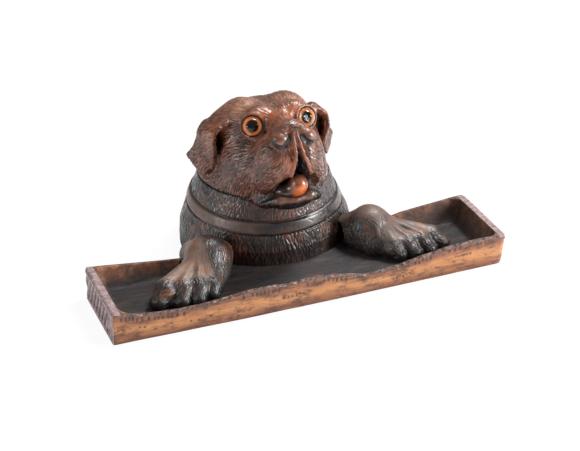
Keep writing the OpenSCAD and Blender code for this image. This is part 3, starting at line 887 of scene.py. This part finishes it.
def make_tongue():
    points, quads, _ = sculpt(tongue_form, (-18, -1, 62), (16, 32, 94), 0.8)
    rub = 1.6 * patch(points, (1.5, 1, 78.5), (6.5, 8, 7)) * held(0.8 + noise(points, 5, 91), 1.2)
    # painted shade at the tongue's foot and along its left side
    stain_and_painted_shade = held((76 - points[:, 2]) / 5, 0.9) + held((-3 - points[:, 0]) / 4, 0.85)
    marks = {"cut": rub * 0, "rub": held(rub), "stain_and_painted_shade": held(stain_and_painted_shade, 0.9)}
    wood = carved_wood("tongue_wood", (56, 32, 26), (88, 52, 42), (116, 74, 60),
                       (196, 98, 34), (150, 110, 90), (22, 13, 11), 0.3, 0.25)
    make_piece("carved_tongue", points, quads, wood, "head", marks)


# The tray

# Heights of the front and the back rim at places along the tray
RIM_FRONT = ([-165, -160, -143, -130, -112, -97, -72, -55, -37, -28, -10,
              1, 17, 31, 40, 52, 69, 91, 115, 135, 149, 165],
             [28, 25.8, 22.3, 20.7, 19.6, 19.5, 21.7, 23.6, 23.5, 22.5, 23.5,
              23.7, 22, 19.1, 17, 18.1, 19.2, 23.5, 27, 28, 28, 27])
RIM_BACK = ([-165, -159, -128, -103, -87, 97, 106, 124, 140, 152, 165],
            [27.2, 26.2, 22.9, 20, 18.5, 20.4, 22.5, 24.5, 25.9, 27.2, 28])
END_WALL = 7.0
SIDE_WALL = 2.6
WALL_LEAN = 9.0
CORNER_R = 9.0
# Half the gap in the back wall, which the bust stands in
GAP_HALF = 89.0
# Radius of the upright outer corners on the right, at the front left and at the back left
OUTER_R = (6.0, 2.2, 4.0)
# Rounding of the rim's outer edge at the ends, and at the front and the back
EDGE_R = 2.4
THIN_EDGE_R = 0.9
# Rings of points from the rim down the outer faces
LEVELS = 44


def tray_top(x, y):
    """Height of the tray's upper side."""
    across = ease((y + half_w) / (2 * half_w))
    rim = np.interp(x, *RIM_FRONT) * (1 - across) + np.interp(x, *RIM_BACK) * across
    gap = ease((GAP_HALF - np.abs(x)) / 1.2) * (y > half_w - SIDE_WALL - WALL_LEAN - 2)
    in_x = half_l - END_WALL - np.abs(x)
    in_y = half_w - SIDE_WALL - np.abs(y)
    corner = (in_x < CORNER_R) & (in_y < CORNER_R)
    rounded = CORNER_R - np.hypot(np.maximum(CORNER_R - in_x, 0), np.maximum(CORNER_R - in_y, 0))
    inset = np.where(corner, rounded, np.minimum(in_x, in_y))
    wall = held(1 - inset / WALL_LEAN) ** 1.9 * (1 - gap)
    return floor_z + (rim - floor_z) * wall


def stations(stops):
    """Places along a line, from (place, pitch up to the next place) pairs."""
    out = []
    for (a, pitch), (b, _) in zip(stops[:-1], stops[1:]):
        n = max(1, int(round((b - a) / (pitch * 1))))
        out += [a + (b - a) * k / n for k in range(n)]
    return np.array(out + [stops[-1][0]])


def make_tray():
    inner_l, inner_w = half_l - END_WALL, half_w - SIDE_WALL
    xs = stations([(-half_l, 0.3), (-half_l + EDGE_R, 0.7), (-inner_l - 0.6, 0.2),
                   (-inner_l + 2, 0.4), (-inner_l + WALL_LEAN, 0.6),
                   (-GAP_HALF - 1, 0.2), (-GAP_HALF + 1.6, 0.6),
                   (GAP_HALF - 1.6, 0.2), (GAP_HALF + 1, 0.6), (inner_l - WALL_LEAN, 0.4),
                   (inner_l - 2, 0.2), (inner_l + 0.6, 0.7), (half_l - EDGE_R, 0.3), (half_l, 0)])
    ys = stations([(-half_w, 0.25), (-inner_w - 0.4, 0.2), (-inner_w + 2, 0.5),
                   (-inner_w + WALL_LEAN, 0.9), (inner_w - WALL_LEAN, 0.5), (inner_w - 2, 0.2),
                   (inner_w + 0.4, 0.25), (half_w, 0)])
    x, y = np.meshgrid(xs, ys, indexing="ij")
    z = tray_top(x, y)
    for edge, r in ((half_l - np.abs(x), EDGE_R), (half_w - np.abs(y), THIN_EDGE_R)):
        z = z - r + np.sqrt(held(r * r - (r - np.minimum(edge, r)) ** 2, r * r))
    top = np.stack([x, y, z], -1).reshape(-1, 3)
    index = np.arange(len(top)).reshape(x.shape)
    quads = np.stack([index[:-1, :-1], index[1:, :-1], index[1:, 1:], index[:-1, 1:]], -1)
    points, faces = [top], [quads.reshape(-1, 4)]
    # Outer faces: the rim's edge carried down to the table, all round
    last = np.concatenate([index[:, 0], index[-1, 1:], index[-2::-1, -1], index[0, -2:0:-1]])
    edge_points = top[last]
    for k in range(LEVELS):
        now = len(top) + k * len(last) + np.arange(len(last))
        points.append(edge_points * [1, 1, 1 - (k + 1) / LEVELS])
        faces.append(np.stack([last, now, np.roll(now, -1), np.roll(last, -1)], 1)[:, ::-1])
        last = now
    points, marks = tray_carving(np.concatenate(points), len(top))
    faces = np.concatenate(faces).tolist() + [last[::-1].tolist()]
    make_piece("carved_tray", points, faces, tray_wood(), "stand", marks, ["pen_tray"])


# Two rows of punched marks on the tray's front: (middle along the length, how many, pitch)
TOP_MARKS = [(-152, 5, 3.0), (-137, 3, 5.0), (-124, 4, 3.6), (-112, 2, 5.0), (-62, 1, 3.0),
             (-46, 6, 3.4), (-34, 2, 3.0), (-6, 2, 6.0), (14, 6, 3.6), (38, 1, 3.0),
             (72, 3, 5.0), (90, 5, 3.3), (118, 3, 5.0), (143, 4, 3.4)]
LOW_MARKS = [(-142, 2, 4.0), (-104, 1, 3.0), (-93, 2, 9.0), (-20, 6, 3.2),
             (72, 6, 2.8), (126, 6, 2.6)]
# Each row's drop below the rim and half the height of its marks
MARK_ROWS = ((TOP_MARKS, 4.2, 2.0), (LOW_MARKS, 11.5, 1.1))


def punched(x, z):
    """How deep the punched marks cut at places on the tray's front."""
    cut = np.zeros(len(x))
    order = np.random.default_rng(5)
    for marks, drop, tall in MARK_ROWS:
        for middle, count, pitch in marks:
            for k in range(count):
                at = middle + (k - (count - 1) / 2) * pitch + order.normal(0, 0.25)
                height = np.interp(at, *RIM_FRONT) - drop + order.normal(0, 0.35)
                half = tall * order.uniform(0.75, 1.2)
                d = ((x - at) / 1.05) ** 4 + ((z - height) / half) ** 4
                cut = np.maximum(cut, np.exp(-d * 1.2) * order.uniform(0.7, 1))
    return cut


def tray_carving(points, top_count):
    """The tray's points with its carving and wear, and the marks for its wood.

    The first top_count points are its upper side, the others its outer faces.
    """
    x, y, z = points.T
    outer = np.arange(len(points)) >= top_count
    front = outer & (y < -half_w + 1e-3)
    rim = np.interp(x, *RIM_FRONT)
    chips = held(noise(points * [0.6, 1, 1], 5.5, 43) * 2.6 - 0.5) * ease((z - rim + 11) / 6)
    chips += held(noise(points * [0.5, 1, 1], 6, 44) * 2.4 - 0.85) * ease((13 - z) / 5)
    cut = np.maximum(front * punched(x, z), 0.75 * front * held(chips))
    # The front leans in a little towards its lower right
    inset = np.interp(x, [-165, -56, 27, 116, 160], [0.4, 0, 1.0, 3.0, 4.0]) * (1 - z / 28)
    lean = ease((-y - half_w + 14) / 14) * outer
    wave = noise(points, 22, 41, 2) * 0.35
    new = points.copy()
    new[:, 1] += lean * (inset + 0.3 + wave) + front * 0.5 * cut
    # Bevel under the right end
    right = held((x - half_l + 4) / 4)
    new[:, 2] = np.where(outer, np.maximum(new[:, 2], 3.0 * right ** 2), new[:, 2])
    # Chip-carved grooves on the left end: flutes near the front, slanted chips behind them
    left = x < -half_l + 1e-3
    fold = np.abs(((y + 0.55 * z) / 7.5) % 1 - 0.5) * 2
    flute = np.abs((y / 4.2) % 1 - 0.5) * 2
    carve = np.where(y < -half_w + 17, flute, fold)
    frame_in = held(np.minimum(rim - 4.5 - z, z - 0.5) / 1.5)
    deep = (1 - carve) ** 1.3 * 1.6 * frame_in * left
    new[:, 0] += deep
    cut = held(cut + 0.8 * held(deep) ** 2)
    # Uneven floor and broken rim
    floor = ~outer & (np.abs(y) < half_w - SIDE_WALL + 0.3) & (np.abs(x) < half_l - END_WALL + 0.3)
    new[:, 2] += floor * (noise(points * [0.35, 1, 1], 5, 51, 3) * 0.32)
    ends = ~outer & (np.abs(x) > half_l - END_WALL + 0.3)
    rough = ~outer & ~floor & ~ends & (y < 0)
    new[:, 2] += rough * np.clip(noise(points, 3.0, 52, 2) - 0.1, -0.5, 0.2) * 1.2
    new[:, :2] += rounded_corners(x, y) - points[:, :2]
    # The back wall's two halves end a little nearer to the bust
    behind = y > half_w - SIDE_WALL - 0.5
    new[:, 0] += np.sign(x) * behind * np.interp(np.abs(x), [60, 89, 120], [0, -2.2, 0])
    shade = 0.6 * ease((x - 70) / 50) * ease((x - 96 + (y + half_w) * 0.2) / 60)
    # The back and the right end have the front's wood, without its chips
    plain = outer & ((y > half_w - 1e-3) | (x > half_l - 1e-3))
    # end: a pale lavender grey on the left end and the ends' rim tops, partly a painted sheen
    return new, {"cut": cut, "front": front | plain, "inner": floor, "shade": shade,
                 "end": np.maximum(left, 0.75 * ends), "level": held(z / np.where(front, rim, 28))}


def rounded_corners(x, y):
    """The square corners of the tray's outline drawn in to quarter circles."""
    r = np.where(x > 0, OUTER_R[0], np.where(y < 0, OUTER_R[1], OUTER_R[2]))
    u = held((np.abs(x) - half_l + r) / r)
    v = held((np.abs(y) - half_w + r) / r)
    new_x = x - np.sign(x) * r * u * (1 - np.sqrt(1 - v * v / 2))
    new_y = y - np.sign(y) * r * v * (1 - np.sqrt(1 - u * u / 2))
    return np.stack([new_x, new_y], 1)


def tray_wood():
    t = Tree("tray_wood")
    grain = t.noise(2.2, 4, 0.65, (0.07, 1, 1), 0.3)
    wide = t.noise(9, 4, 0.65, (0.3, 1, 1), 0.6)
    front = t.ramp(grain, [(0.3, (78, 42, 30)), (0.46, (138, 86, 54)), (0.66, (182, 130, 86))])
    level = t.number("level")
    band = t.ramp(t.vary(level, wide, 0.6),
                  [(0.0, (28, 19, 19)), (0.06, (84, 50, 40)), (0.22, (122, 74, 54)),
                   (0.42, (178, 124, 74)), (0.6, (172, 116, 70)), (0.74, (128, 78, 54)),
                   (0.88, (78, 46, 40))])
    front = t.mix(0.6, front, band)
    patches = t.ramp(t.noise(4.5, 5, 0.75, (0.45, 1, 1)), [(0.49, 0.0), (0.64, 1.0)])
    front = t.mix(t.times(patches, 0.8), front, (62, 38, 33))
    inner = t.ramp(t.noise(9, 5, 0.7, distortion=0.8),
                   [(0.3, (52, 37, 33)), (0.48, (116, 74, 52)), (0.68, (190, 122, 78))])
    floor = t.spread(t.noise(1.6, 4, 0.6, (0.08, 1, 1)), (18, 16, 17), (54, 49, 50))
    brown = t.ramp(t.noise(8, 4, 0.65, (0.25, 1, 1), 0.5), [(0.5, 0.0), (0.68, 0.7)])
    floor = t.mix(brown, floor, (72, 50, 40))
    inner = t.mix(t.number("shade"), inner, (50, 41, 39))
    walls = t.ramp(t.vary(level, t.noise(7, 3), 0.3), [(0.36, 0.0), (0.92, 1.0)])
    inner = t.mix(walls, floor, inner)
    # pale lavender grey of the ends, partly a painted sheen on the rim tops
    end = t.ramp(t.noise(4, 5, 0.65),
                 [(0.3, (94, 76, 76)), (0.5, (146, 126, 125)), (0.7, (184, 165, 164))])
    rim = t.ramp(t.noise(2.2, 4, 0.7),
                 [(0.35, (44, 32, 30)), (0.55, (84, 62, 54)), (0.72, (168, 148, 138))])
    base = t.mix(t.number("front"), rim, front)
    base = t.mix(t.number("inner"), base, inner)
    base = t.mix(t.number("end"), base, end)
    base = t.mix(t.times(t.number("cut"), 0.92), base, (36, 28, 30))
    rough = t.spread(t.noise(3, 3), 0.42, 0.62)
    rough = t.math("ADD", rough, t.times(t.number("inner"), 0.16), True)
    t.set(Base_Color=base, Roughness=rough)
    t.set(Normal=t.bump(t.noise(1.0, 4, 0.6, (0.1, 1, 1)), 0.5, 0.3))
    t.set(Coat_Weight=0.05, Coat_Roughness=0.4, Specular_IOR_Level=0.4)
    return t.material


# The paws: (knuckle, tip) of each toe, outermost first

LEFT_TOES = [((-113, -6, 16.5), (-120.5, -11, 12.5)), ((-99, -8, 17), (-103, -15.5, 12)),
             ((-87, -10, 16.5), (-90.5, -17, 12)), ((-76, -8, 14.5), (-78, -13, 12))]
RIGHT_TOES = [((116, -1, 16), (122.5, -6, 12.5)), ((104.5, -5, 17), (109, -11.5, 12)),
              ((92, -7, 16.5), (95.5, -12.5, 12)), ((80, -7, 15), (82, -11.5, 12))]
WRIST = (70, 21, 25.5)
FOREARM = (57, 34, 18)


def paw_form(side, toes):
    out = np.array([side, 1, 1])
    wrist, forearm = out * WRIST, out * FOREARM
    knuckles, tips = (np.array(ends) for ends in zip(*toes))

    def form(p):
        d = join(ball(p, wrist, 17), limb(p, wrist, (side * 73, 41, 17), 15, 13), 5)
        d = join(d, limb(p, forearm, (side * 68, 8, 15), 13, 11), 8)
        # back of the paw, which falls from the wrist to the row of knuckles
        back = (wrist + [side * 4, -2, -2.5], knuckles[0] + [0, 3, -0.5], knuckles[-1] + [0, 4, 1])
        d = join(d, slab(p, back, 9.0), 9)
        # bar behind the knuckles and sole behind the tips
        bar, sole = knuckles + [0, 2.5, -0.5], tips + [0, 2.5, -1.5]
        for k in range(len(toes) - 1):
            d = join(d, limb(p, bar[k], bar[k + 1], 7.4), 4)
            d = join(d, limb(p, sole[k], sole[k + 1], 5.2), 2)
        # tendons, the outermost one thick
        for k, knuckle in enumerate(knuckles):
            thick, rise = (1.6, [0, 3, 6.6]) if k else (3.4, [side * 2, 3, 4.6])
            start = wrist + [side * 8, -5, 8 - thick / 2]
            d = join(d, limb(p, start, knuckle + rise, thick), 4)
        # toes, the outermost one larger
        for k, (knuckle, tip) in enumerate(toes):
            size = 7.6 if k else 8.4
            toe = limb(p, knuckle, tip, size - 0.3, size - 1.2)
            d = join(d, join(ball(p, knuckle, size), toe, 2), 0.9)
        d = np.maximum(d, floor_z - p[..., 2])
        return np.maximum(d, -bust_oval(p, 0.6))
    return form


def make_paw(side, name, toes):
    lows, highs = ((-136, -32, 6), (-48, 60, 46)) if side < 0 else ((48, -28, 6), (140, 60, 46))
    points, quads, normals = sculpt(paw_form(side, toes), lows, highs, 0.6)
    lie = points - np.array([side * 69, 25, 34])
    lie /= np.linalg.norm(lie, axis=1, keepdims=True) + 1e-6
    lie = lie + 0.3 * drift(points, 14, (61, 62, 63), 1)
    cut = chisel(points, normals, lie, normals[:, 2] > -0.5, 3200,
                 (2.5, 7), (0.9, 1.4), (0.2, 0.55), 14)
    # back of the paw, behind the row of knuckles: smoother than the toes, and paler where it faces
    # up, a painted highlight
    front_y = np.interp(np.abs(points[:, 0]), [70, 78, 104, 116, 124], [-8, -10, -8, -4, 0])
    facing = 0.1 if side < 0 else 0.4
    back = ease((points[:, 1] - front_y) / 5) * ease((normals[:, 2] - facing) / 0.5)
    back *= 1 - ease((points[:, 0] - side * 78) / 8) * (side < 0)
    cut = cut * (1 - 0.8 * back)
    points = points + normals * (noise(points, 7, 71, 2) * 0.25 - cut)[:, None]
    z = points[:, 2]
    rub = 0.8 * held(noise(points, 11, 81) * 1.8 - 0.2) * (z > 15)
    # painted shade on the toes in front of the knuckles and low down near the floor
    stain_and_painted_shade = 0.75 * (1 - ease((points[:, 1] - front_y + 3) / 7)) + (14 - z) / 8
    # painted light on the back of the paw where it faces up, stronger on the left paw
    pale_and_painted_light = (0.65 if side < 0 else 0.35) * back * held(0.9 + noise(points, 16, 82))
    marks = {"cut": held(cut / 0.35), "rub": held(rub), "stain_and_painted_shade": held(stain_and_painted_shade, 0.85), "pale_and_painted_light": pale_and_painted_light}
    make_piece(name, points, quads, paw_wood, "stand", marks,
               [name.replace("carved_", "")])


# Eyes, pot, hinge and fasteners keep their CAD solids and get materials

def eye_glass():
    t = Tree("eye_glass")
    t.set(Base_Color=(1, 1, 1, 1), Roughness=t.spread(t.noise(3, 2), 0.0, 0.03), IOR=1.36)
    t.set(Transmission_Weight=1.0, Coat_Weight=0.4, Coat_Roughness=0.02, Coat_IOR=1.5)
    return t.material


def eye_paint(side):
    """Rings of colour about the way the eye looks, from the pupil out."""
    t = Tree("eye_paint_left" if side < 0 else "eye_paint_right")
    facing = Vector((EYE_FACING[0] * side, *EYE_FACING[1:])).normalized()
    middle = Vector((EYE_SHIFT + EYE_MIDDLE[0] * side, EYE_MIDDLE[1], EYE_MIDDLE[2])) * MM
    away = t.vector("SUBTRACT", t.place, middle)[0]
    off_axis = t.vector("LENGTH", t.vector("CROSS_PRODUCT", away, facing)[0])["Value"]
    r = t.vary(t.math("DIVIDE", off_axis, EYE_R * MM), t.noise(1.2, 3), 0.05)
    ring = t.ramp(r, [(0.44, (1, 1, 1)), (0.48, (150, 66, 24)), (0.56, (255, 168, 100)),
                      (0.84, (255, 150, 72)), (0.91, (160, 66, 26)), (0.96, (14, 9, 8))])
    t.set(Base_Color=ring, Roughness=0.6, Specular_IOR_Level=0.0)
    return t.material


def pot_glass():
    t = Tree("pot_glass")
    tint = t.spread(t.noise(20, 2), (214, 232, 226), (232, 242, 238))
    t.set(Base_Color=tint, Roughness=t.spread(t.noise(4, 3), 0.03, 0.1))
    t.set(IOR=1.5, Transmission_Weight=1.0)
    return t.material


def dress_cad():
    brass = metal("brass", (186, 148, 82), (112, 82, 42), 0.34)
    steel = metal("steel", (150, 150, 152), (96, 94, 92), 0.38)
    dowel_wood = carved_wood("dowel_wood", (150, 118, 80), (190, 156, 112), (214, 184, 142),
                             (200, 160, 110), (220, 196, 160), (110, 80, 50))
    finish = ((eye_glass(), ["left_eye_glass", "right_eye_glass"]),
              (eye_paint(-1), ["left_eye_iris"]),
              (eye_paint(1), ["right_eye_iris"]),
              (pot_glass(), ["ink_pot"]),
              (brass, ["hinge_leaf_lower", "hinge_leaf_upper", "hinge_pin", "hinge_screws_lower",
                       "hinge_screws_upper"]),
              (steel, ["bust_screws"]),
              (dowel_wood, ["left_paw_dowels", "right_paw_dowels"]))
    for material, names in finish:
        for name in names:
            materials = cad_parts[name].data.materials
            materials.clear()
            materials.append(material)


# Stage, light and camera

# How far the floor is bright by itself, as an overexposed table is; the rest takes light and shadow
FLOOR_GLOW = 0.93
# In metres
FLOOR_HALF = 6.0
FLOOR_DROP = 0.0002
LIGHT_TARGET = (0, 0.05, 0.06)


def make_stage():
    t = Tree("pale_floor")
    path = t.nodes.new("ShaderNodeLightPath").outputs
    seen = t.math("MAXIMUM", path["Is Camera Ray"], path["Is Transmission Ray"])
    seen = t.times(seen, FLOOR_GLOW)
    t.set(Base_Color=(0.93, 0.93, 0.94, 1), Roughness=0.9)
    glow = t.add("Emission", {"Strength": 1.0, "Color": (1, 1, 1, 1)})
    both = t.add("MixShader", {0: seen, 1: t.shader.outputs[0], 2: glow.outputs[0]})
    t.feed(t.nodes["Material Output"], {"Surface": both.outputs[0]})
    mesh = bpy.data.meshes.new("floor")
    s = FLOOR_HALF
    mesh.from_pydata([(-s, -s, 0), (s, -s, 0), (s, s, 0), (-s, s, 0)], [], [(0, 1, 2, 3)])
    mesh.materials.append(t.material)
    floor = add_object("floor", mesh)
    floor.location.z = -FLOOR_DROP


def aim(obj, target, azimuth, elevation, distance):
    """Puts an object at a distance from its target and turns it to look there."""
    a, e = math.radians(azimuth), math.radians(elevation)
    away = Vector((math.sin(a) * math.cos(e), -math.cos(a) * math.cos(e), math.sin(e)))
    obj.location = Vector(target) + away * distance
    obj.rotation_euler = away.to_track_quat("Z", "Y").to_euler()


def softbox(name, azimuth, elevation, distance, width, height, power):
    light = bpy.data.lights.new(name, "AREA")
    light.shape = "RECTANGLE"
    light.size, light.size_y = width, height
    light.energy = power
    aim(add_object(name, light), LIGHT_TARGET, azimuth, elevation, distance)


WORLD_LIGHT = 0.3


def make_light():
    world = bpy.data.worlds.new("studio")
    bpy.context.scene.world = world
    world.use_nodes = True
    nodes, links = world.node_tree.nodes, world.node_tree.links
    back = nodes["Background"]
    path = nodes.new("ShaderNodeLightPath")
    pick = nodes.new("ShaderNodeMath")
    pick.operation = "MULTIPLY_ADD"
    links.new(path.outputs["Is Camera Ray"], pick.inputs[0])
    pick.inputs[1].default_value = 1 - WORLD_LIGHT
    pick.inputs[2].default_value = WORLD_LIGHT
    links.new(pick.outputs[0], back.inputs["Strength"])
    back.inputs["Color"].default_value = (1, 1, 1, 1)
    softbox("right_box", 55, 18, 1.3, 0.32, 0.5, 24)
    softbox("left_box", -81, 17, 1.3, 0.3, 0.5, 7)
    softbox("top_box", 112, 60, 1.5, 0.5, 0.5, 26)


CAMERA_AZIMUTH = -21.774
CAMERA_ELEVATION = 28.291
CAMERA_DISTANCE = 1.2494
CAMERA_TARGET = (-0.0082, 0.0, 0.0513)
FOCAL_PIXELS = 1600.0
PHOTO_WIDTH = 580.0


def make_camera():
    camera = bpy.data.cameras.new("camera")
    camera.sensor_width = 36
    camera.lens = FOCAL_PIXELS / PHOTO_WIDTH * camera.sensor_width
    obj = add_object("camera", camera)
    aim(obj, CAMERA_TARGET, CAMERA_AZIMUTH, CAMERA_ELEVATION, CAMERA_DISTANCE)
    bpy.context.scene.camera = obj


make_bust()
make_head()
make_tongue()
make_tray()
make_paw(-1, "carved_left_paw", LEFT_TOES)
make_paw(1, "carved_right_paw", RIGHT_TOES)
dress_cad()
make_stage()
make_light()
make_camera()
bpy.context.scene.view_settings.view_transform = "Standard"
